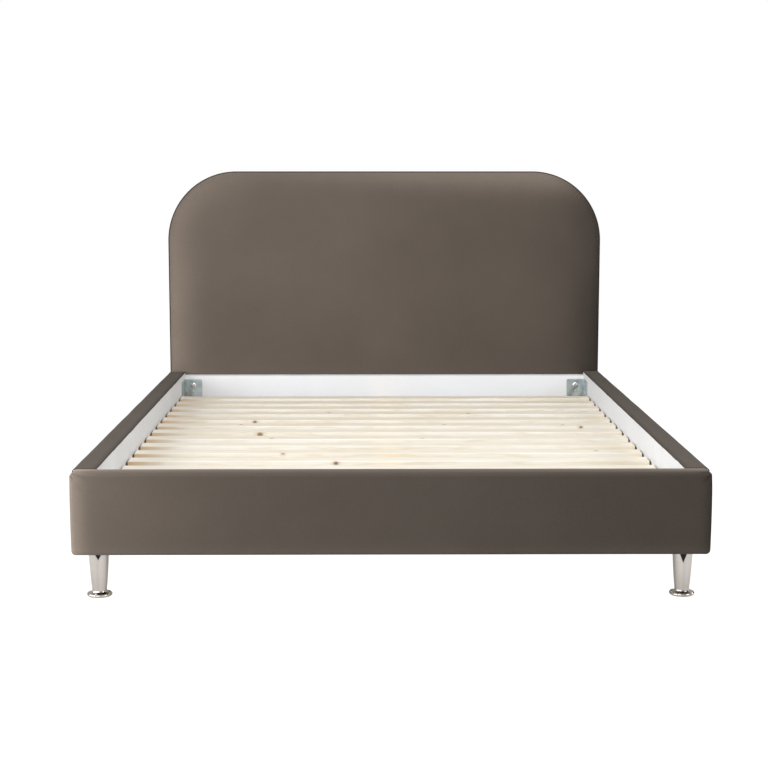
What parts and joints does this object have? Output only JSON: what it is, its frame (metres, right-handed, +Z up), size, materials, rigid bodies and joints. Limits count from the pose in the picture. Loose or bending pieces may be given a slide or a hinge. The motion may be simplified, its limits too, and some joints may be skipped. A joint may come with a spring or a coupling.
{
  "type": "upholstered bed frame",
  "caption": "Velvet-covered double bed frame with a padded arched-corner headboard, lined side rails, pine slats and turned chrome legs.",
  "frame": {"origin": "on the floor, under the centre of the whole frame's box", "axes": "+X across the bed to the right as seen from the foot end, +Y along the bed from the foot to the headboard, +Z up"},
  "size_m": [1.63, 2.193, 1.082],
  "materials": {
    "velvet": "short pile, soft sheen",
    "lining": "thin white non-woven cloth",
    "foam": "open-cell foam",
    "back_cloth": "thin black non-woven cloth",
    "pine": "planed, unfinished",
    "timber": "sawn, unfinished",
    "plywood": "sanded",
    "chrome": "polished",
    "zinc": "bright zinc plate",
    "fastener_steel": "zinc plate",
    "black_plastic": "matt moulded"
  },
  "bodies": {
    "bed_frame": {"centre_leg_foot": "timber", "centre_leg_head": "timber", "centre_rail": "timber", "centre_rail_hangers": "zinc", "corner_blocks": "timber", "corner_bracket_foot_left": "zinc", "corner_bracket_foot_right": "zinc", "corner_bracket_head_left": "zinc", "corner_bracket_head_right": "zinc", "foot_rail_board": "timber", "foot_rail_bolts": "fastener_steel", "foot_rail_cover": "velvet", "foot_rail_foam": "foam", "foot_rail_lining": "lining", "head_rail_board": "timber", "head_rail_lining": "lining", "headboard_back_cloth": "back_cloth", "headboard_bolts": "fastener_steel", "headboard_border": "velvet", "headboard_bottom_rail": "timber", "headboard_cover": "velvet", "headboard_foam": "foam", "headboard_panel": "plywood", "headboard_top_board": "timber", "headboard_upright_left": "timber", "headboard_upright_right": "timber", "insert_nuts": "fastener_steel", "leg_foot_left": "chrome", "leg_foot_right": "chrome", "leg_head_left": "chrome", "leg_head_right": "chrome", "leg_plates": "zinc", "side_rail_board_left": "timber", "side_rail_board_right": "timber", "side_rail_cover_left": "velvet", "side_rail_cover_right": "velvet", "side_rail_foam_left": "foam", "side_rail_foam_right": "foam", "side_rail_lining_left": "lining", "side_rail_lining_right": "lining", "slat_01": "pine", "slat_02": "pine", "slat_03": "pine", "slat_04": "pine", "slat_05": "pine", "slat_06": "pine", "slat_07": "pine", "slat_08": "pine", "slat_09": "pine", "slat_10": "pine", "slat_11": "pine", "slat_12": "pine", "slat_13": "pine", "slat_14": "pine", "slat_ledge_left": "timber", "slat_ledge_right": "timber"},
    "levelling_foot_head": {"levelling_foot_head": "black_plastic"},
    "levelling_foot_foot": {"levelling_foot_foot": "black_plastic"}
  },
  "joints": [
    {"name": "levelling_foot_head_screw", "type": "slide", "parent": "bed_frame", "child": "levelling_foot_head", "axis": [0, 0, -1], "range_m": [0, 0.02]},
    {"name": "levelling_foot_foot_screw", "type": "slide", "parent": "bed_frame", "child": "levelling_foot_foot", "axis": [0, 0, -1], "range_m": [0, 0.02]}
  ]
}
